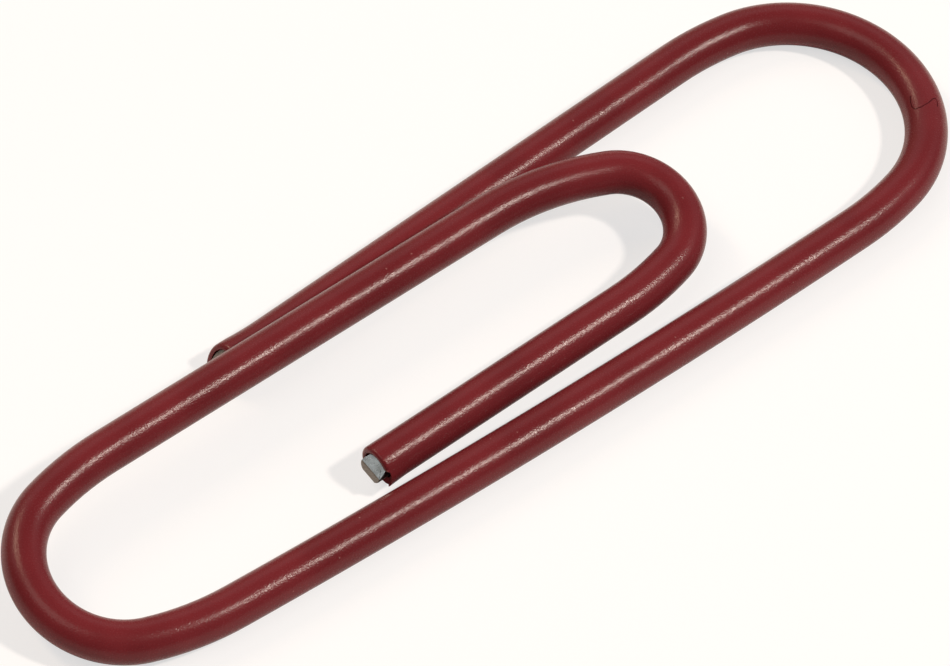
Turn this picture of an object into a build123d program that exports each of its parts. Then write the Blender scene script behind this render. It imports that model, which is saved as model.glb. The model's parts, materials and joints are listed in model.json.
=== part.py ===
"""Paper clip: a steel wire in a vinyl coat, bent into three nested half turns.

The wire runs from its outer end along the outer leg, round the right bend, back along the
front leg, round the left bend, along the middle leg, round the inner bend and back along the
inner leg to its inner end. The middle leg rests on the tip of the outer leg, so the left bend
and the tongue lean out of the loop's plane. Wire and coat are parted at the apex of the left
bend, where the wire twists when the tongue is lifted.

Lengths are in millimetres and angles in degrees. X runs along the clip to the right bend,
Y from the front leg to the outer leg, and Z up from the surface that the clip lies on.
"""

import os
from math import acos, cos, degrees, radians, sin

from build123d import *

# Wire and coat
wire_diameter = 0.80
coat_wall = 0.23

# Lengths along the clip
clip_length = 33.0
outer_leg_length = 17.5
middle_leg_length = 13.8
inner_leg_length = 9.1

# Spacing of the legs, between wire centres unless it is a gap between coats
inner_loop_width = 4.44
inner_leg_gap = 0.08
outer_leg_step = 1.98
rest_clearance = 0.03

# Angles by which the legs are out of parallel
front_leg_splay = 2.24
outer_leg_lean = 3.78
middle_leg_lean = 0.85
inner_leg_lean = 1.90

# Each bend eases in and out on a wide arc: its radius, and how far each easing turns
lead_radius = 9.2
right_lead_in = 13.0
right_lead_out = 13.0
left_lead_in = 16.8
left_lead_out = 14.6
inner_lead_in = 23.9
inner_lead_out = 13.4

# Inner end: the coat's lip and the step torn into it, and the wire that stands out with a sheared flat
lip_chamfer = 0.10
lip_step = 0.14
lip_step_height = 0.15
lip_step_facing = 126.0
inner_wire_show = 0.24
shear_at_lip = 0.19
shear_at_end = 0.27

# Outer end: how far the wire is drawn back in the coat, and the slight outward curl before the straight tip
outer_wire_recess = 0.14
tip_straight = 0.45
tip_curl = 6.5
tip_curl_radius = 10.0

# Sizes that follow
quarter_turn = 90
wire_radius = wire_diameter / 2
coat_diameter = wire_diameter + 2 * coat_wall
coat_radius = coat_diameter / 2


def sine(angle):
    return sin(radians(angle))


def cosine(angle):
    return cos(radians(angle))


class Bend:
    """A half turn between two legs: a wide easing arc, the tight arc, and an easing arc.

    A lean is how far a leg already points into the turn. Entry and exit are the angles at
    which the easing arcs meet the tight arc.
    """

    def __init__(self, width, lean_in, lean_out, lead_in, lead_out):
        self.lead_in, self.lead_out = lead_in, lead_out
        self.lean_in, self.lean_out = lean_in, lean_out
        self.entry, self.exit = lean_in + lead_in, lean_out + lead_out
        eased_in = lead_radius * (cosine(lean_in) - cosine(self.entry))
        eased_out = lead_radius * (cosine(lean_out) - cosine(self.exit))
        self.radius = (width - eased_in - eased_out) / (cosine(self.entry) + cosine(self.exit))

    def reach(self, lean, meeting):
        """How far the apex lies beyond the end of the leg that leans so."""
        return lead_radius * (sine(meeting) - sine(lean)) + self.radius * (1 - sine(meeting))

    def reach_in(self):
        return self.reach(self.lean_in, self.entry)

    def reach_out(self):
        return self.reach(self.lean_out, self.exit)

    def to_apex(self, leg):
        """Draws the turn from the end of a leg to the apex."""
        easing = JernArc(leg @ 1, leg % 1, lead_radius, -self.lead_in)
        return JernArc(easing @ 1, easing % 1, self.radius, self.entry - quarter_turn)

    def from_apex(self, half):
        """Draws the turn from the apex to the start of the next leg."""
        tight = JernArc(half @ 1, half % 1, self.radius, self.exit - quarter_turn)
        return JernArc(tight @ 1, tight % 1, lead_radius, -self.lead_out)


# Plan of the wire before the tongue is set on the outer leg, with the front leg's chord at zero
inner_tip_y = coat_diameter + inner_leg_gap
inner_leg_y = inner_tip_y + inner_leg_length * sine(inner_leg_lean)
middle_end_y = inner_leg_y + inner_loop_width
middle_leg_y = middle_end_y - middle_leg_length * sine(middle_leg_lean)
outer_leg_y = middle_leg_y + outer_leg_step

inner_bend = Bend(inner_loop_width, -middle_leg_lean, inner_leg_lean, inner_lead_in, inner_lead_out)
left_bend = Bend(middle_leg_y, front_leg_splay, middle_leg_lean, left_lead_in, left_lead_out)
right_bend = Bend(outer_leg_y, -outer_leg_lean, front_leg_splay, right_lead_in, right_lead_out)

front_leg_chord = clip_length - coat_diameter - left_bend.reach_in() - right_bend.reach_out()
front_leg_radius = front_leg_chord / (2 * sine(front_leg_splay))
front_leg_bow = front_leg_radius * (1 - cosine(front_leg_splay))

# The plan is centred on the origin and lies half a coat above the surface
crown_y = outer_leg_y + lead_radius * (1 - cosine(outer_leg_lean))
front_y = (front_leg_bow - crown_y) / 2
left_apex_x = coat_radius - clip_length / 2
front_end_x = left_apex_x + left_bend.reach_in()
right_apex_x = clip_length / 2 - coat_radius
outer_leg_end_x = right_apex_x - right_bend.reach_in()
outer_tip_x = outer_leg_end_x - outer_leg_length * cosine(outer_leg_lean)
outer_tip_y = outer_leg_y - outer_leg_length * sine(outer_leg_lean)

# The outer leg as drawn: a straight tip, the curl, and the rest of the leg
tip_heading = outer_leg_lean - tip_curl
outer_straight = outer_leg_length - tip_straight - tip_curl_radius * radians(tip_curl)
curl_x = outer_leg_end_x - outer_straight * cosine(outer_leg_lean)
curl_x -= tip_curl_radius * (sine(outer_leg_lean) - sine(tip_heading))
curl_y = outer_leg_y - outer_straight * sine(outer_leg_lean)
curl_y -= tip_curl_radius * (cosine(tip_heading) - cosine(outer_leg_lean))

# The tongue leans about the end of the front leg until its middle leg clears the outer leg's tip,
# taken as straight: the curl only adds to the clearance. Where the legs already pass clear side by
# side, it lies flat
middle_leg_x = left_apex_x + left_bend.reach_out()
middle_rise = (outer_tip_x - middle_leg_x) * sine(middle_leg_lean) / cosine(middle_leg_lean)
axis_drop = (outer_tip_x - front_end_x) * sine(front_leg_splay)
outer_arm = outer_tip_y * cosine(front_leg_splay) + axis_drop
middle_arm = (middle_leg_y + middle_rise) * cosine(front_leg_splay) + axis_drop
seat = coat_diameter + rest_clearance
lean_cosine = (outer_arm**2 + middle_arm**2 - seat**2) / (2 * outer_arm * middle_arm)
tongue_lean = degrees(acos(min(1, lean_cosine)))

loop_plane = Plane.XY.offset(coat_radius)
lean_axis = Axis((0, 0, 0), (cosine(front_leg_splay), -sine(front_leg_splay), 0))
tongue_plane = Plane(
    origin=(front_end_x, front_y, coat_radius),
    x_dir=lean_axis.direction,
    z_dir=Vector(0, 0, 1).rotate(lean_axis, tongue_lean),
)


def loop_path(recess):
    """Wire line from the outer end, drawn back by the recess, to the left bend's apex."""
    shown = tip_straight - recess
    start = curl_x - shown * cosine(tip_heading), front_y + curl_y - shown * sine(tip_heading)
    with BuildLine(loop_plane) as flat:
        tip = PolarLine(start, shown, tip_heading)
        curl = JernArc(tip @ 1, tip % 1, tip_curl_radius, tip_curl)
        outer_leg = PolarLine(curl @ 1, outer_straight, direction=curl % 1)
        right_half = right_bend.to_apex(outer_leg)
        right_rest = right_bend.from_apex(right_half)
        front_leg = JernArc(right_rest @ 1, right_rest % 1, front_leg_radius, -2 * front_leg_splay)
    with BuildLine(tongue_plane) as leaning:
        left_bend.to_apex(front_leg)
    return Wire(flat.edges() + leaning.edges())


def tongue_path(loop, show):
    """Wire line from the left bend's apex to the inner end, drawn out by what shows there."""
    with BuildLine(tongue_plane) as leaning:
        left_rest = left_bend.from_apex(loop)
        middle_leg = PolarLine(left_rest @ 1, middle_leg_length, direction=left_rest % 1)
        inner_half = inner_bend.to_apex(middle_leg)
        inner_rest = inner_bend.from_apex(inner_half)
        PolarLine(inner_rest @ 1, inner_leg_length + show, direction=inner_rest % 1)
    return Wire(leaning.edges())


def start_plane(path):
    return Plane(origin=path @ 0, z_dir=path % 0)


def lip(coat, tip):
    """The outer edge of the coat where it is cut at a tip."""
    circles = coat.edges().filter_by(GeomType.CIRCLE)
    rims = circles.sort_by(lambda circle: (circle.arc_center - tip).length)[:2]
    return rims.sort_by(SortBy.RADIUS)[-1]


loop_line = loop_path(0)
loop_wire_line = loop_path(outer_wire_recess)
tongue_line = tongue_path(loop_line, 0)
tongue_wire_line = tongue_path(loop_line, inner_wire_show)

# Loop wire: outer leg, right bend, front leg and the first half of the left bend
with BuildPart() as loop_wire:
    with BuildSketch(start_plane(loop_wire_line)):
        Circle(wire_radius)
    sweep(path=loop_wire_line)

# Loop coat: a tube along the same line that overhangs the wire at the outer end
with BuildPart() as loop_coat:
    with BuildSketch(start_plane(loop_line)):
        Circle(coat_radius)
        Circle(wire_radius, mode=Mode.SUBTRACT)
    sweep(path=loop_line)
    chamfer(lip(loop_coat, loop_line @ 0), length=lip_chamfer)

# Tongue wire: the rest of the left bend, middle leg, inner bend and inner leg, sheared off at its end
inner_tip = tongue_line @ 1
inner_way = tongue_line % 1
inner_up = tongue_plane.z_dir
with BuildPart() as tongue_wire:
    with BuildSketch(start_plane(tongue_wire_line)):
        Circle(wire_radius)
    sweep(path=tongue_wire_line)
    shear_plane = Plane(
        origin=inner_tip + inner_up * (wire_radius - shear_at_lip),
        x_dir=inner_way.cross(inner_up),
        z_dir=inner_way * (shear_at_end - shear_at_lip) + inner_up * inner_wire_show,
    )
    with BuildSketch(shear_plane):
        Rectangle(2 * wire_diameter, 2 * wire_diameter, align=(Align.CENTER, Align.MIN))
    extrude(amount=wire_diameter, mode=Mode.SUBTRACT)

# Tongue coat: a tube along the tongue that stops short of the sheared wire, torn back below and in front
step_way = inner_up.rotate(Axis((0, 0, 0), inner_way), -lip_step_facing)
with BuildPart() as tongue_coat:
    with BuildSketch(start_plane(tongue_line)):
        Circle(coat_radius)
        Circle(wire_radius, mode=Mode.SUBTRACT)
    sweep(path=tongue_line)
    chamfer(lip(tongue_coat, inner_tip), length=lip_chamfer)
    step_plane = Plane(
        origin=inner_tip - inner_way * lip_step + step_way * lip_step_height,
        x_dir=inner_way.cross(step_way),
        z_dir=step_way,
    )
    with BuildSketch(step_plane):
        Rectangle(2 * coat_diameter, coat_diameter, align=(Align.CENTER, Align.MIN))
    extrude(amount=coat_diameter, mode=Mode.SUBTRACT)

pieces = {
    "outer_loop_wire": loop_wire,
    "outer_loop_coating": loop_coat,
    "tongue_wire": tongue_wire,
    "tongue_coating": tongue_coat,
}
os.makedirs("parts", exist_ok=True)
for name, piece in pieces.items():
    piece.part.label = name
    export_step(piece.part, f"parts/{name}.step")

print("bend radii", [round(bend.radius, 3) for bend in (right_bend, left_bend, inner_bend)])
print("front leg chord", round(front_leg_chord, 3), "bow", round(front_leg_bow, 3))
print("tongue lean", round(tongue_lean, 3))
print("twist apex", tongue_line @ 0, "axis", tongue_line % 0)
print("wire length", round(loop_wire_line.length + tongue_wire_line.length, 2))
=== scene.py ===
"""The looks of a vinyl coated paper clip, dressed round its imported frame.

Lengths are in metres and angles in degrees.
"""

import json
from math import asin, atan2, ceil, cos, degrees, pi, radians, sin

import bmesh
import bpy
from mathutils import Matrix, Vector


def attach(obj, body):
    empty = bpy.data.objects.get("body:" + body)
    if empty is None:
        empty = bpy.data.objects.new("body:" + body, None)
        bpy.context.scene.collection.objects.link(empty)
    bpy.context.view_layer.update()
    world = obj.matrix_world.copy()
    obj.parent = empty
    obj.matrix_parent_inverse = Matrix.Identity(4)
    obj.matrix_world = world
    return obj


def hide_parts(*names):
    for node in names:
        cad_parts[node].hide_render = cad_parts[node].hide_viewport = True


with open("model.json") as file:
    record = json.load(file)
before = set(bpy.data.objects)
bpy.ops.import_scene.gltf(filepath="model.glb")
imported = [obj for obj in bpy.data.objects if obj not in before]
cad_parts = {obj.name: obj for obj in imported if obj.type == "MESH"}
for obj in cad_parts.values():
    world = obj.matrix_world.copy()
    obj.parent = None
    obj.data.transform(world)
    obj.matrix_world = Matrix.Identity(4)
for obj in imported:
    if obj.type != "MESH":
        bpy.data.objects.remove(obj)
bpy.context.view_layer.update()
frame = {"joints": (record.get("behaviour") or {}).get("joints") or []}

MM = 0.001
UP = Vector((0, 0, 1))
QUARTER_TURN = 90
FULL_TURN = 360
ALL_ROUND = 0, FULL_TURN

# Wire and coat, and the gap between the wire and the coat's bore
WIRE_RADIUS = 0.40 * MM
COAT_WALL = 0.23 * MM
COAT_RADIUS = WIRE_RADIUS + COAT_WALL
COAT_DIAMETER = 2 * COAT_RADIUS
WALL_MIDDLE = COAT_RADIUS - COAT_WALL / 2
CORE_GAP = 0.004 * MM

# Lengths along the clip
CLIP_LENGTH = 33.0 * MM
OUTER_LEG_LENGTH = 17.5 * MM
MIDDLE_LEG_LENGTH = 13.8 * MM
INNER_LEG_LENGTH = 9.1 * MM

# Spacing of the legs
INNER_LOOP_WIDTH = 4.44 * MM
INNER_LEG_GAP = 0.08 * MM
OUTER_LEG_STEP = 1.98 * MM

# Angles by which the legs are out of parallel
FRONT_LEG_SPLAY = 2.24
OUTER_LEG_LEAN = 3.78
MIDDLE_LEG_LEAN = 0.85
INNER_LEG_LEAN = 1.90

# Easing arcs of the bends: their radius, and their angles into and out of each bend
LEAD_RADIUS = 9.2 * MM
RIGHT_LEADS = 13.0, 13.0
LEFT_LEADS = 16.8, 14.6
INNER_LEADS = 23.9, 13.4

# How finely the tubes are drawn, and how close together points are merged
COAT_SIDES = 72
WIRE_SIDES = 48
RUN_STEP = 0.35 * MM
TURN_STEP = 2.5
HAIRLINE = 0.0005 * MM
WELD = 0.008 * MM
SMOOTH_ANGLE = 30
INWARDS = -1

# Cuts: how far along an end they reach, and how squarely a face has to look their way to be theirs
CUT_REACH = 2 * COAT_DIAMETER
CUT_FACING = 0.6

# Inner end: the bare wire, its sheared facet and chisel edge, and the coat's rolled and torn lip
INNER_WIRE_SHOW = 0.24 * MM
SHEAR_DEPTH_AT_LIP = 0.19 * MM
SHEAR_DEPTH_AT_END = 0.35 * MM
FACET_ZONE = 2 * INNER_WIRE_SHOW
CHISEL_EDGE = 0.29 * MM
CHISEL_SLOPE = 45
INNER_LIP_ZONE = 0.60 * MM
INNER_LIP_REACH = INNER_LIP_ZONE / 2
INNER_LIP_ROLL = 0.13 * MM
INNER_LIP_INNER_ROLL = 0.035 * MM
INNER_LIP_ROLLED = -136, 47
INNER_LIP_TORN = 50, 201

# Sectors of the inner lip, by angles round it: how far its outer and inner edges stand out of the cut
INNER_LIP_SECTORS = (
    (-137, 49, 0.06 * MM, 0.04 * MM),
    (50, 121, -0.03 * MM, -0.14 * MM),
    (122, 201, -0.14 * MM, -0.16 * MM),
    (202, 222, -0.05 * MM, -0.05 * MM),
)
INNER_LIP_FLARE = 0.03 * MM
INNER_LIP_FLARED = 60, 150
INNER_BORE_FLARE = 1.12

# Outer end: a slanting cut through the wire and the coat's nose, which leans back at the top
TIP_CURL_RADIUS = 10.0 * MM
TIP_CURL_ANGLE = 6.5
NOSE_LENGTH = 0.60 * MM
NOSE_RECESS = 0.07 * MM
NOSE_SPARE = 0.45 * MM
NOSE_LEAN = 25
NOSE_EDGE = 0.10 * MM
NOSE_TAPER = 0.96
NOSE_ROLL = 0.10 * MM
NOSE_BORE_FLARE = 1.04
NOSE_BORE_LIFT = 0.07 * MM
OUTER_WIRE_SINK = 0.02 * MM
OUTER_WIRE_LEAN = 34
OUTER_WIRE_SPREAD = 1.02
OUTER_WIRE_LIFT = 0.05 * MM

# Rounded edges of the coat's lips and of the wire's cuts
ROLL_SEGMENTS = 6
BURR = 0.025 * MM
BURR_SEGMENTS = 2

# Places of the cut faces' finishes in a piece's list: torn on a coat, broken and sheared on a wire
TORN = 1
BROKEN = 1
SHEARED = 2

# Hairline crack across the right bend: points of its line, across and down the photograph
CRACK_LINE = (
    (910.2, 95.9),
    (910.5, 101.6),
    (911.9, 106.7),
    (914.9, 109.2),
    (921.4, 106.9),
    (928.8, 102.6),
    (933.2, 98.7),
    (935.5, 98.4),
    (937.2, 101.6),
    (937.4, 106.7),
)
CRACK_RADIUS = 0.019 * MM
CRACK_ROUNDING = 1

# Camera, at the photograph's viewing angle
IMAGE_WIDTH = 950
IMAGE_HEIGHT = 666
CAMERA_AZIMUTH = -42.1537
CAMERA_ELEVATION = 52.4472
CAMERA_ROLL = 4.7337
CAMERA_DISTANCE = 200 * MM
CAMERA_SHIFT_ACROSS = -0.0228 * MM
CAMERA_SHIFT_UP = -0.539 * MM
CAMERA_FOCAL_PIXELS = 7051.6
CAMERA_TARGET = Vector((0, 0, 1 * MM))
CAMERA_CLIP = 1 * MM
SENSOR_WIDTH = 36


def sine(angle):
    return sin(radians(angle))


def cosine(angle):
    return cos(radians(angle))


class Bend:
    """A half turn in (radius, angle) arcs: an easing, a tight turn with its apex, and an easing."""

    def __init__(self, width, lean_in, lean_out, leads):
        lead_in, lead_out = leads
        entry, leave = lean_in + lead_in, lean_out + lead_out
        eased_in = LEAD_RADIUS * (cosine(lean_in) - cosine(entry))
        eased_out = LEAD_RADIUS * (cosine(lean_out) - cosine(leave))
        radius = (width - eased_in - eased_out) / (cosine(entry) + cosine(leave))
        self.to_apex = [(LEAD_RADIUS, lead_in), (radius, QUARTER_TURN - entry)]
        self.from_apex = [(radius, QUARTER_TURN - leave), (LEAD_RADIUS, lead_out)]
        self.reach_in = LEAD_RADIUS * (sine(entry) - sine(lean_in)) + radius * (1 - sine(entry))
        self.reach_out = LEAD_RADIUS * (sine(leave) - sine(lean_out)) + radius * (1 - sine(leave))


# Plan of the wire, from the front leg's chord outwards
inner_leg_y = COAT_DIAMETER + INNER_LEG_GAP + INNER_LEG_LENGTH * sine(INNER_LEG_LEAN)
middle_leg_y = inner_leg_y + INNER_LOOP_WIDTH - MIDDLE_LEG_LENGTH * sine(MIDDLE_LEG_LEAN)
outer_leg_y = middle_leg_y + OUTER_LEG_STEP
inner_bend = Bend(INNER_LOOP_WIDTH, -MIDDLE_LEG_LEAN, INNER_LEG_LEAN, INNER_LEADS)
left_bend = Bend(middle_leg_y, FRONT_LEG_SPLAY, MIDDLE_LEG_LEAN, LEFT_LEADS)
right_bend = Bend(outer_leg_y, -OUTER_LEG_LEAN, FRONT_LEG_SPLAY, RIGHT_LEADS)
front_leg_chord = CLIP_LENGTH - COAT_DIAMETER - left_bend.reach_in - right_bend.reach_out
front_leg_arc = front_leg_chord / (2 * sine(FRONT_LEG_SPLAY)), 2 * FRONT_LEG_SPLAY
outer_straight = OUTER_LEG_LENGTH - NOSE_LENGTH - TIP_CURL_RADIUS * radians(TIP_CURL_ANGLE)

# The left bend's apex, where the tongue hinges, and the leaning tongue's own upright
hinge = frame["joints"][0]
apex = Vector(hinge["pos_m"])
apex_way = -Vector(hinge["axis"]).normalized()
tongue_lean = asin(apex_way.z / cosine(FRONT_LEG_SPLAY))
lean_axis = Vector((cosine(FRONT_LEG_SPLAY), -sine(FRONT_LEG_SPLAY), 0))
tongue_up = Matrix.Rotation(tongue_lean, 3, lean_axis) @ UP


def open_mesh():
    """Applies a new object's placing, then opens its mesh in edit mode with every point selected."""
    bpy.ops.object.transform_apply(location=True, rotation=True, scale=True)
    bpy.ops.object.mode_set(mode="EDIT")
    bpy.ops.mesh.select_mode(type="VERT")
    bpy.ops.mesh.select_all(action="SELECT")


def choose(piece, test):
    """In edit mode, selects the points whose place passes the test."""
    bpy.ops.mesh.select_all(action="DESELECT")
    mesh = bmesh.from_edit_mesh(piece.data)
    for point in mesh.verts:
        point.select_set(test(point.co))
    mesh.select_flush_mode()
    bmesh.update_edit_mesh(piece.data)


def apply_modifier(piece, kind, **settings):
    """Adds a modifier with these settings and applies it."""
    modifier = piece.modifiers.new(kind.lower(), kind)
    for name, value in settings.items():
        setattr(modifier, name, value)
    bpy.ops.object.modifier_apply(modifier=modifier.name)


def within(angle, sector):
    """Whether an angle lies in a sector, whole turns apart or not."""
    start, stop = sector
    return (angle - start) % FULL_TURN <= stop - start


class End:
    """A cut end: its middle, the way out of it, the cut's facing and the cut's own upright.

    Angles round it start at the top and go by way of the front.
    """

    def __init__(self, tube, up, lean=0):
        self.point, self.way = tube.point.copy(), tube.way.copy()
        self.cut = self.way * cosine(lean) + up * sine(lean)
        self.rise = up * cosine(lean) - self.way * sine(lean)
        self.up = up
        self.front = up.cross(self.way)
        if self.front.y > 0:
            self.front = -self.front

    def depth(self, place):
        """How far a place lies behind the cut."""
        return (self.point - place).dot(self.cut)

    def out(self, place):
        """How far a place lies from the wire's middle line."""
        across = place - self.point
        return (across - self.way * across.dot(self.way)).length

    def round(self, place):
        """The angle round the end at which a place lies."""
        across = place - self.point
        return degrees(atan2(across.dot(self.front), across.dot(self.up)))

    def facing(self, angle):
        """The direction out of the wire's side at an angle round the end."""
        return self.up * cosine(angle) + self.front * sine(angle)


class Tube:
    """A tube drawn out along the wire's line, ring by ring, from the left bend's apex."""

    def __init__(self, name, radius, sides, way):
        bpy.ops.object.select_all(action="DESELECT")
        bpy.ops.mesh.primitive_circle_add(
            vertices=sides,
            radius=radius,
            location=apex,
            rotation=apex_way.to_track_quat("Z", "Y").to_euler(),
        )
        self.piece = bpy.context.object
        self.piece.name = name
        self.piece.data.name = name
        open_mesh()
        self.point, self.way = apex.copy(), way.copy()

    def run(self, length, steps=None):
        """Goes straight on, in short steps if their number isn't given."""
        steps = steps or ceil(length / RUN_STEP)
        stride = self.way * length / steps
        for _ in range(steps):
            bpy.ops.mesh.extrude_edges_move(TRANSFORM_OT_translate={"value": stride})
        self.point += self.way * length

    def turn(self, up, arcs):
        """Turns clockwise about an upright, one arc after another."""
        for radius, angle in arcs:
            inward = self.way.cross(up)
            centre = self.point + inward * radius
            steps = ceil(max(angle / TURN_STEP, radians(angle) * radius / RUN_STEP))
            bpy.ops.mesh.spin(steps=steps, angle=radians(angle), center=centre, axis=up)
            self.point = centre + radius * (self.way * sine(angle) - inward * cosine(angle))
            self.way = self.way * cosine(angle) + inward * sine(angle)

    def skin(self):
        """Merges the rings and turns the skin outwards."""
        bpy.ops.mesh.select_all(action="SELECT")
        bpy.ops.mesh.remove_doubles(threshold=HAIRLINE)
        bpy.ops.mesh.normals_make_consistent(inside=False)

    def wall(self):
        """Gives a coat its thickness, and stays in edit mode."""
        bpy.ops.object.mode_set(mode="OBJECT")
        apply_modifier(
            self.piece,
            "SOLIDIFY",
            thickness=COAT_WALL - CORE_GAP,
            offset=INWARDS,
            use_even_offset=True,
        )
        bpy.ops.object.mode_set(mode="EDIT")

    def weld(self):
        """Merges the points that rolled edges leave almost together."""
        bpy.ops.mesh.select_all(action="SELECT")
        bpy.ops.mesh.remove_doubles(threshold=WELD)

    def done(self):
        """Leaves edit mode, smooths all but the sharp edges, and gives the piece."""
        bpy.ops.object.mode_set(mode="OBJECT")
        bpy.ops.object.shade_smooth_by_angle(angle=radians(SMOOTH_ANGLE))
        return self.piece


def follow_loop(tube):
    """Draws a tube back from the apex to the start of the outer leg."""
    tube.turn(-tongue_up, reversed(left_bend.to_apex))
    tube.turn(-UP, [front_leg_arc, *reversed(right_bend.from_apex), *reversed(right_bend.to_apex)])


def follow_tongue(tube):
    """Draws a tube on from the apex to the start of the inner leg."""
    tube.turn(tongue_up, left_bend.from_apex)
    tube.run(MIDDLE_LEG_LENGTH)
    tube.turn(tongue_up, [*inner_bend.to_apex, *inner_bend.from_apex])


def choose_lip(piece, end, zone, sector, outer):
    """Selects the outer or the inner edge of a coat's cut end over a sector."""
    choose(piece, lambda place: (
        end.depth(place) < zone
        and end.out(place) < COAT_DIAMETER
        and (end.out(place) > WALL_MIDDLE) == outer
        and within(end.round(place), sector)
    ))


def roll_lip(piece, end, zone, sector, outer, roll):
    """Rounds the outer or the inner edge of a coat's cut end over a sector."""
    choose_lip(piece, end, zone, sector, outer)
    bpy.ops.mesh.bevel(offset=roll, segments=ROLL_SEGMENTS, affect="EDGES")


def choose_rim(piece, end):
    """Selects the edge of a wire's cut end."""
    choose(piece, lambda place: end.depth(place) < HAIRLINE and end.out(place) < COAT_DIAMETER)


def round_rim(piece, end):
    """Rounds the edge of a wire's cut end, once points that are almost together are one."""
    choose_rim(piece, end)
    bpy.ops.mesh.remove_doubles(threshold=BURR)
    choose_rim(piece, end)
    bpy.ops.mesh.bevel(offset=BURR, segments=BURR_SEGMENTS, affect="EDGES")


def spread(end, scale):
    """Scales the selected points about the middle of a cut end."""
    bpy.ops.transform.resize(value=(scale, scale, scale), center_override=end.point)


def cut_off(piece, end, point, facing, fill):
    """Cuts away all of a tube's end that lies beyond a plane."""
    choose(piece, lambda place: (
        abs(end.depth(place)) < CUT_REACH
        and end.out(place) < COAT_DIAMETER
    ))
    bpy.ops.mesh.bisect(
        plane_co=point,
        plane_no=facing,
        use_fill=fill,
        clear_outer=True,
        threshold=HAIRLINE,
    )


def mark_cut(piece, end, zone, sector, facing, finish):
    """Makes the faces of a cut that look one way flat, and gives them another of the finishes."""
    for face in piece.data.polygons:
        if (
            end.depth(face.center) < zone
            and end.out(face.center) < COAT_DIAMETER
            and face.normal.dot(facing) > CUT_FACING
            and within(end.round(face.center), sector)
        ):
            face.material_index = finish
            face.use_smooth = False


def draw_nose(tube, reach, lean):
    """Draws the outer leg's straight part, curl and nose, and gives the slanting end."""
    follow_loop(tube)
    tube.run(outer_straight)
    tube.turn(UP, [(TIP_CURL_RADIUS, TIP_CURL_ANGLE)])
    tube.run(NOSE_LENGTH + NOSE_SPARE, steps=1)
    end = End(tube, UP, lean)
    end.point += end.way * (reach - NOSE_RECESS - NOSE_SPARE)
    tube.skin()
    return end


def make_loop_sleeve():
    """Coat of the outer loop, with a slanting rounded nose at the outer end."""
    tube = Tube("loop_sleeve", COAT_RADIUS, COAT_SIDES, -apex_way)
    end = draw_nose(tube, 0, NOSE_LEAN)
    tube.wall()
    cut_off(tube.piece, end, end.point, end.cut, fill=False)
    bpy.ops.mesh.bridge_edge_loops()
    for outer, scale in ((False, NOSE_BORE_FLARE), (True, NOSE_TAPER)):
        choose_lip(tube.piece, end, NOSE_EDGE, ALL_ROUND, outer)
        spread(end, scale)
    choose_lip(tube.piece, end, NOSE_EDGE, ALL_ROUND, outer=False)
    bpy.ops.transform.translate(value=end.rise * NOSE_BORE_LIFT)
    roll_lip(tube.piece, end, NOSE_EDGE, ALL_ROUND, True, NOSE_ROLL)
    return tube.done()


def make_tongue_sleeve():
    """Coat of the tongue, with a lip at the inner end that is rolled above and torn back below."""
    tube = Tube("tongue_sleeve", COAT_RADIUS, COAT_SIDES, apex_way)
    follow_tongue(tube)
    tube.run(INNER_LEG_LENGTH - INNER_LIP_ZONE)
    tube.run(INNER_LIP_ZONE, steps=1)
    end = End(tube, tongue_up)
    tube.skin()
    tube.wall()
    for start, stop, outer_reach, inner_reach in INNER_LIP_SECTORS:
        for outer, reach in ((True, outer_reach), (False, inner_reach)):
            choose_lip(tube.piece, end, INNER_LIP_REACH, (start, stop), outer)
            bpy.ops.transform.translate(value=end.way * reach)
    choose_lip(tube.piece, end, INNER_LIP_REACH, INNER_LIP_FLARED, outer=True)
    bpy.ops.transform.translate(value=end.facing(sum(INNER_LIP_FLARED) / 2) * INNER_LIP_FLARE)
    choose_lip(tube.piece, end, INNER_LIP_REACH, ALL_ROUND, outer=False)
    spread(end, INNER_BORE_FLARE)
    roll_lip(tube.piece, end, INNER_LIP_REACH, INNER_LIP_ROLLED, False, INNER_LIP_INNER_ROLL)
    roll_lip(tube.piece, end, INNER_LIP_REACH, INNER_LIP_ROLLED, True, INNER_LIP_ROLL)
    tube.weld()
    piece = tube.done()
    mark_cut(piece, end, INNER_LIP_REACH, INNER_LIP_TORN, end.cut, TORN)
    return piece


def make_loop_core():
    """Wire of the outer loop, cut at a slant in the coat's nose and spread a little by the cut."""
    tube = Tube("loop_core", WIRE_RADIUS, WIRE_SIDES, -apex_way)
    end = draw_nose(tube, -OUTER_WIRE_SINK, OUTER_WIRE_LEAN)
    bpy.ops.mesh.fill_holes(sides=WIRE_SIDES)
    cut_off(tube.piece, end, end.point, end.cut, fill=True)
    choose_rim(tube.piece, end)
    spread(end, OUTER_WIRE_SPREAD)
    bpy.ops.transform.translate(value=end.rise * OUTER_WIRE_LIFT)
    round_rim(tube.piece, end)
    piece = tube.done()
    mark_cut(piece, end, NOSE_EDGE, ALL_ROUND, end.cut, BROKEN)
    return piece


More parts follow.
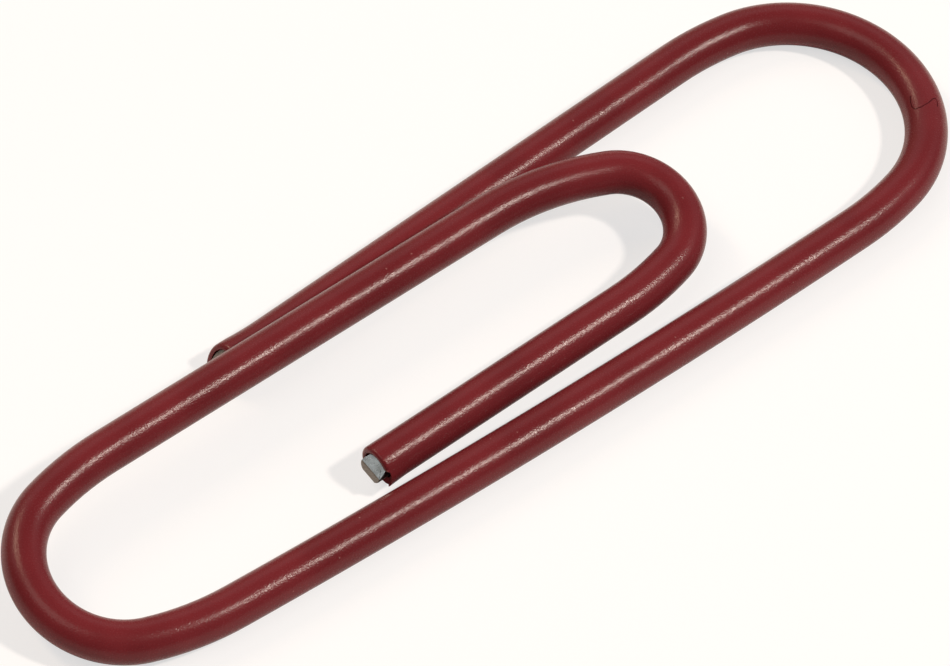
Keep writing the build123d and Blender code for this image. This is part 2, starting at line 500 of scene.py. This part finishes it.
def make_tongue_core():
    """Wire of the tongue, standing out of the coat at the inner end with a sheared facet."""
    tube = Tube("tongue_core", WIRE_RADIUS, WIRE_SIDES, apex_way)
    follow_tongue(tube)
    tube.run(INNER_LEG_LENGTH)
    lip = End(tube, tongue_up)
    tube.run(INNER_WIRE_SHOW)
    end = End(tube, tongue_up)
    tube.skin()
    bpy.ops.mesh.fill_holes(sides=WIRE_SIDES)
    facet = lip.way * (SHEAR_DEPTH_AT_END - SHEAR_DEPTH_AT_LIP) + tongue_up * INNER_WIRE_SHOW
    facet.normalize()
    facet_top = lip.point + tongue_up * (WIRE_RADIUS - SHEAR_DEPTH_AT_LIP)
    cut_off(tube.piece, end, facet_top, facet, fill=True)
    chisel = end.way * cosine(CHISEL_SLOPE) - tongue_up * sine(CHISEL_SLOPE)
    cut_off(tube.piece, end, end.point - tongue_up * CHISEL_EDGE, chisel, fill=True)
    round_rim(tube.piece, end)
    piece = tube.done()
    mark_cut(piece, end, FACET_ZONE, ALL_ROUND, facet, SHEARED)
    mark_cut(piece, end, BURR, ALL_ROUND, end.cut, BROKEN)
    return piece


class Signal:
    """A socket's value in a material, so that shader maths reads as plain sums."""

    def __init__(self, finish, socket):
        self.finish, self.socket = finish, socket

    def maths(self, operation, first, second):
        return self.finish.node("Math", {"operation": operation}, {0: first, 1: second})

    def __add__(self, other):
        return self.maths("ADD", self, other)

    __radd__ = __add__

    def __sub__(self, other):
        return self.maths("SUBTRACT", self, other)

    def __rsub__(self, other):
        return self.maths("SUBTRACT", other, self)

    def __mul__(self, other):
        return self.maths("MULTIPLY", self, other)

    def most(self, other):
        return self.maths("MAXIMUM", self, other)


# Sockets by which the Mix node takes and gives colours
MIX_SHARE = 0
MIX_FIRST = 6
MIX_SECOND = 7
MIX_RESULT = 2


class Finish:
    """A procedural material, or the sky, with its nodes."""

    def __init__(self, owner):
        owner.use_nodes = True
        self.owner, self.tree = owner, owner.node_tree

    def feed(self, socket, value):
        """Links a signal to a socket, or sets the socket to a constant."""
        if isinstance(value, Signal):
            self.tree.links.new(value.socket, socket)
        else:
            socket.default_value = value

    def node(self, kind, settings, sockets, output=0):
        """Adds a node, sets it up, feeds its sockets and gives one of its outputs."""
        node = self.tree.nodes.new("ShaderNode" + kind)
        for name, value in settings.items():
            setattr(node, name, value)
        for name, value in sockets.items():
            self.feed(node.inputs[name], value)
        return Signal(self, node.outputs[output])

    def place(self):
        return self.node("TexCoord", {}, {}, "Object")

    def mapped(self, sockets):
        """The place on the piece, turned or scaled."""
        return self.node("Mapping", {"vector_type": "POINT"}, {"Vector": self.place(), **sockets})

    def noise(self, place, scale, detail=2.0):
        return self.node("TexNoise", {}, {"Vector": place, "Scale": scale, "Detail": detail})

    def bump(self, distance, height):
        return self.node("Bump", {}, {"Distance": distance, "Height": height})

    def smooth(self, value, low, high):
        """Zero below the low level, one above the high level, eased between."""
        return self.node(
            "MapRange",
            {"interpolation_type": "SMOOTHSTEP"},
            {"Value": value, "From Min": low, "From Max": high},
        )

    def blend(self, share, first, second):
        colours = {MIX_SHARE: share, MIX_FIRST: first, MIX_SECOND: second}
        return self.node("Mix", {"data_type": "RGBA"}, colours, MIX_RESULT)

    def shade(self, sockets):
        """Feeds the material's own shader."""
        shader = self.tree.nodes["Principled BSDF"]
        for name, value in sockets.items():
            self.feed(shader.inputs[name], value)


def material(name):
    return Finish(bpy.data.materials.new(name))


# Vinyl
VINYL_RED = 0.146, 0.0178, 0.0226, 1
VINYL_DEEP = 0.123, 0.0146, 0.0186, 1
# Pale colour of the nibs: partly pale dust specks, partly a painted highlight where they catch the
# key lamp
NIB_DUST_AND_GLINT_PALE = 0.330, 0.1400, 0.1300, 1
VINYL_ROUGHNESS = 0.25
VINYL_GLOSS = 0.19
PEEL_GRAIN = 0.045 * MM
PEEL_DETAIL = 1
PEEL_HEIGHT = 0.0066 * MM
PEEL_TURN = 0.6, 0.5, 0.7
PEEL_MIDDLE = 0.5
PEEL_ROUGHNESS = 0.2
SWELL_GRAIN = 0.9 * MM
SWELL_HEIGHT = 0.006 * MM
CLOUDS_TO_A_SWELL = 0.35
CLOUD_EDGES = 0.35, 0.65
NIB_SPACING = 0.34 * MM
NIB_EDGES = 0.05, 0.10
NIB_HEIGHT = 0.010 * MM
NIB_PICK = 0.72, 0.80
NIB_DUST_AND_GLINT_SHARE = 0.6


def make_vinyl():
    """Satin vinyl with a fine orange peel, a slight swell, faint clouds and a few raised nibs,
    painted pale: partly pale dust specks, partly a painted highlight.
    """
    vinyl = material("red_vinyl")
    place = vinyl.place()
    peel = vinyl.noise(vinyl.mapped({"Rotation": PEEL_TURN}), 1 / PEEL_GRAIN, PEEL_DETAIL)
    swell = vinyl.noise(place, 1 / SWELL_GRAIN)
    clouds = vinyl.noise(place, CLOUDS_TO_A_SWELL / SWELL_GRAIN)
    nib_cells = {"Vector": place, "Scale": 1 / NIB_SPACING}
    near = vinyl.node("TexVoronoi", {}, nib_cells, "Distance")
    pick = vinyl.node("TexVoronoi", {}, nib_cells, "Color")
    nib = (1 - vinyl.smooth(near, *NIB_EDGES)) * vinyl.smooth(pick, *NIB_PICK)
    colour = vinyl.blend(vinyl.smooth(clouds, *CLOUD_EDGES), VINYL_DEEP, VINYL_RED)
    height = peel + swell * (SWELL_HEIGHT / PEEL_HEIGHT) + nib * (NIB_HEIGHT / PEEL_HEIGHT)
    vinyl.shade({
        # The nibs are painted pale: partly pale dust specks, partly a painted highlight
        "Base Color": vinyl.blend(nib * NIB_DUST_AND_GLINT_SHARE, colour, NIB_DUST_AND_GLINT_PALE),
        "Roughness": VINYL_ROUGHNESS + (peel - PEEL_MIDDLE) * PEEL_ROUGHNESS,
        "Specular IOR Level": VINYL_GLOSS,
        "Normal": vinyl.bump(PEEL_HEIGHT, height),
    })
    return vinyl.owner


# Sheared steel, with the draw's lines and dull patches
STEEL_PALE = 0.45, 0.54, 0.60, 1
STEEL_DULL = 0.23, 0.27, 0.29, 1
STEEL_ROUGHNESS = 0.22
LINE_SCALES = 0.9 / MM, 16 / MM, 16 / MM
LINE_DETAIL = 3
LINE_HEIGHT = 0.002 * MM
LINE_ROUGHNESS = 0.14
LINE_DULLNESS = 0.4
PATCH_SCALE = 5 / MM
PATCH_EDGES = 0.40, 0.70
PATCH_DULLNESS = 0.6


def make_steel():
    """Bare drawn steel with fine lines along the inner leg, a little dulled."""
    steel = material("cut_steel")
    lines = steel.noise(steel.mapped({"Scale": LINE_SCALES}), 1, LINE_DETAIL)
    patches = steel.smooth(steel.noise(steel.place(), PATCH_SCALE), *PATCH_EDGES)
    dull = patches * PATCH_DULLNESS + lines * LINE_DULLNESS
    steel.shade({
        "Base Color": steel.blend(dull, STEEL_PALE, STEEL_DULL),
        "Roughness": STEEL_ROUGHNESS + lines * LINE_ROUGHNESS,
        "Metallic": 1,
        "Normal": steel.bump(LINE_HEIGHT, lines),
    })
    return steel.owner


# Rough steel: broken, or darkened along the wire's side as painted shade
BROKEN_PALE = 0.34, 0.32, 0.29, 1
BROKEN_DARK = 0.20, 0.18, 0.16, 1
SHADE_STEEL_PALE = 0.120, 0.085, 0.070, 1
SHADE_STEEL_DARK = 0.060, 0.040, 0.034, 1
BROKEN_SCALE = 22 / MM
BROKEN_DETAIL = 3
BROKEN_HEIGHT = 0.006 * MM
BROKEN_ROUGHNESS = 0.55

# Rough vinyl: torn, or in the crack, where the darker colours are painted shade
TORN_RED = 0.170, 0.0080, 0.013, 1
TORN_DARK = 0.100, 0.0050, 0.009, 1
CRACK_SHADE_RED = 0.085, 0.0090, 0.013, 1
CRACK_SHADE_DARK = 0.050, 0.0060, 0.009, 1
TORN_SCALE = 30 / MM
TORN_HEIGHT = 0.008 * MM
TORN_ROUGHNESS = 0.7
TORN_GLOSS = 0.1

# How much the grain of a rough surface adds to its roughness
GRAIN_ROUGHNESS = 0.2


def make_rough_steel(name, pale, dark):
    """Rough steel of two mixed colours: where the wire broke off, or along its side, where the dark
    colours are painted shade.
    """
    rough = material(name)
    grain = rough.noise(rough.place(), BROKEN_SCALE, BROKEN_DETAIL)
    rough.shade({
        "Base Color": rough.blend(grain, pale, dark),
        "Roughness": BROKEN_ROUGHNESS + grain * GRAIN_ROUGHNESS,
        "Metallic": 1,
        "Normal": rough.bump(BROKEN_HEIGHT, grain),
    })
    return rough.owner


def make_torn_vinyl(name, pale, dark):
    """Rough vinyl of two mixed colours, in a tear, or in a crack where the colours are painted shade.
    """
    torn = material(name)
    grain = torn.noise(torn.place(), TORN_SCALE)
    torn.shade({
        "Base Color": torn.blend(grain, dark, pale),
        "Roughness": TORN_ROUGHNESS + grain * GRAIN_ROUGHNESS,
        "Specular IOR Level": TORN_GLOSS,
        "Normal": torn.bump(TORN_HEIGHT, grain),
    })
    return torn.owner


# Camera
back = Vector((
    sine(CAMERA_AZIMUTH) * cosine(CAMERA_ELEVATION),
    -cosine(CAMERA_AZIMUTH) * cosine(CAMERA_ELEVATION),
    sine(CAMERA_ELEVATION),
))
level = Vector((cosine(CAMERA_AZIMUTH), sine(CAMERA_AZIMUTH), 0))
rise = back.cross(level)
across = level * cosine(CAMERA_ROLL) + rise * sine(CAMERA_ROLL)
upward = rise * cosine(CAMERA_ROLL) - level * sine(CAMERA_ROLL)
spot = CAMERA_TARGET + back * CAMERA_DISTANCE
spot += across * CAMERA_SHIFT_ACROSS
spot += upward * CAMERA_SHIFT_UP
bpy.ops.object.camera_add(location=spot)
camera = bpy.context.object
camera.rotation_euler = Matrix((across, upward, back)).transposed().to_euler()
camera.data.sensor_width = SENSOR_WIDTH
camera.data.lens = SENSOR_WIDTH * CAMERA_FOCAL_PIXELS / IMAGE_WIDTH
camera.data.clip_start = CAMERA_CLIP
bpy.context.scene.camera = camera


def seen_at(piece, point):
    """The place on a piece that the camera sees at a point across and down the picture."""
    right = point[0] - IMAGE_WIDTH / 2
    down = point[1] - IMAGE_HEIGHT / 2
    sight = across * right - upward * down - back * CAMERA_FOCAL_PIXELS
    return piece.ray_cast(spot, sight.normalized())[1]


def cut_crack(sleeve, finish):
    """Cuts a hairline crack into a coat along the photograph's line; its walls take a dark finish,
    painted shade in the groove.
    """
    places = [seen_at(sleeve, point) for point in CRACK_LINE]
    bpy.ops.object.select_all(action="DESELECT")
    bpy.ops.mesh.primitive_plane_add(size=CRACK_RADIUS, location=places[0])
    cutter = bpy.context.object
    open_mesh()
    bpy.ops.mesh.merge(type="CENTER")
    for start, stop in zip(places, places[1:]):
        bpy.ops.mesh.extrude_vertices_move(TRANSFORM_OT_translate={"value": stop - start})
    bpy.ops.object.mode_set(mode="OBJECT")
    bpy.ops.object.convert(target="CURVE")
    cutter.data.bevel_depth = CRACK_RADIUS
    cutter.data.bevel_resolution = CRACK_ROUNDING
    cutter.data.use_fill_caps = True
    bpy.ops.object.convert(target="MESH")
    cutter.data.materials.clear()
    cutter.data.materials.append(finish)
    bpy.ops.object.select_all(action="DESELECT")
    sleeve.select_set(True)
    bpy.context.view_layer.objects.active = sleeve
    apply_modifier(
        sleeve,
        "BOOLEAN",
        object=cutter,
        operation="DIFFERENCE",
        material_mode="TRANSFER",
    )
    bpy.data.objects.remove(cutter)


# The dressed clip
vinyl = make_vinyl()
steel = make_steel()
broken_steel = make_rough_steel("broken_steel", BROKEN_PALE, BROKEN_DARK)
# The wires' sides are painted dark: painted shade where they show in the coat's ends
painted_shade_steel = make_rough_steel("painted_shade_steel", SHADE_STEEL_PALE, SHADE_STEEL_DARK)
torn_vinyl = make_torn_vinyl("torn_vinyl", TORN_RED, TORN_DARK)
# The crack's dark finish is painted shade in the groove
crack_shade_vinyl = make_torn_vinyl("crack_shade_vinyl", CRACK_SHADE_RED, CRACK_SHADE_DARK)
loop_sleeve = make_loop_sleeve()
tongue_sleeve = make_tongue_sleeve()
loop_core = make_loop_core()
tongue_core = make_tongue_core()
for piece, finishes, node, body, slot in (
    (loop_sleeve, [vinyl], "outer_loop_coating", "outer_loop", "vinyl_coat"),
    (tongue_sleeve, [vinyl, torn_vinyl], "tongue_coating", "tongue", "vinyl_coat"),
    (loop_core, [painted_shade_steel, broken_steel], "outer_loop_wire", "outer_loop", "steel_wire"),
    (tongue_core, [painted_shade_steel, broken_steel, steel], "tongue_wire", "tongue", "steel_wire"),
):
    for finish in finishes:
        piece.data.materials.append(finish)
    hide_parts(node)
    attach(piece, body)
cut_crack(loop_sleeve, crack_shade_vinyl)

# Floor and sky
FLOOR_SIZE = 1.6
FLOOR_DROP = 0.002 * MM
FLOOR_COLOUR = 0.86, 0.86, 0.86, 1
FLOOR_ROUGHNESS = 1
FLOOR_LIFT = 0.66
FLOOR_MIRRORED_LIFT = 0.12
FULL_WHITE = 1, 1, 1, 1
SKY_GLOW = 0.05

# The floor is pale, and lifted towards white for the camera and for reflections
bpy.ops.object.select_all(action="DESELECT")
bpy.ops.mesh.primitive_plane_add(size=FLOOR_SIZE, location=(0, 0, -FLOOR_DROP))
floor = bpy.context.object
floor.name = "floor"
paper = material("pale_floor")
paper.shade({"Base Color": FLOOR_COLOUR, "Roughness": FLOOR_ROUGHNESS})
seen = paper.node("LightPath", {}, {}, "Is Camera Ray")
mirrored = paper.node("LightPath", {}, {}, "Is Glossy Ray")
through = paper.node("LightPath", {}, {}, "Is Transmission Ray")
white = paper.node("Emission", {}, {"Color": FULL_WHITE, "Strength": 1})
lit = Signal(paper, paper.tree.nodes["Principled BSDF"].outputs[0])
lift = (seen.most(through) * FLOOR_LIFT).most(mirrored * FLOOR_MIRRORED_LIFT)
mix = paper.node("MixShader", {}, {0: lift, 1: lit, 2: white})
paper.feed(paper.tree.nodes["Material Output"].inputs["Surface"], mix)
floor.data.materials.append(paper.owner)

sky = Finish(bpy.data.worlds.new("studio"))
bpy.context.scene.world = sky.owner
sky.feed(sky.tree.nodes["Background"].inputs["Color"], FULL_WHITE)
sky.feed(sky.tree.nodes["Background"].inputs["Strength"], SKY_GLOW)

# Colours of the lamps
WHITE = 1, 1, 1
WARM = 1, 0.88, 0.78
TAN = 1, 0.74, 0.52

# Lamps that face the clip: the way to each, its distance, width, height, glow and colour
SOFTBOXES = (
    ("key_lamp", (0.409, -0.470, 0.782), 0.45, 0.040, 0.040, 335, WARM),
    ("key_glow", (0.62, -0.45, 0.60), 0.60, 0.40, 0.34, 0.5, WHITE),
    ("back_wall", (0.10, 0.96, 0.26), 0.60, 1.1, 0.28, 0.34, TAN),
    ("back_softbox", (0.10, 0.75, 0.68), 0.60, 1.1, 0.32, 0.70, WHITE),
    ("right_softbox", (0.86, 0.15, 0.45), 0.60, 0.5, 0.4, 0.35, WHITE),
)

# Lamps overhead that face straight down: the place of each, its width, length, glow and colour
CEILING_STRIPS = (
    ("left_window", (-0.30, 0.06, 0.60), 0.34, 0.40, 2.8, WARM),
    ("back_strip", (-0.22, 0.63, 0.60), 0.15, 0.56, 14, TAN),
)
FACING_DOWN = 0, 0, 0


def hang_lamp(name, place, turn, width, length, glow, colour):
    """Hangs a rectangular lamp of an even glow, out of the camera's sight."""
    bpy.ops.object.light_add(type="AREA", location=place)
    lamp = bpy.context.object
    lamp.name = name
    lamp.rotation_euler = turn
    lamp.data.shape = "RECTANGLE"
    lamp.data.size = width
    lamp.data.size_y = length
    lamp.data.energy = glow * pi * width * length
    lamp.data.color = colour
    lamp.visible_camera = False


for name, way, distance, *panel in SOFTBOXES:
    way = Vector(way).normalized()
    hang_lamp(name, way * distance, way.to_track_quat("Z", "Y").to_euler(), *panel)
for name, place, *panel in CEILING_STRIPS:
    hang_lamp(name, place, FACING_DOWN, *panel)

bpy.context.scene.view_settings.view_transform = "Standard"
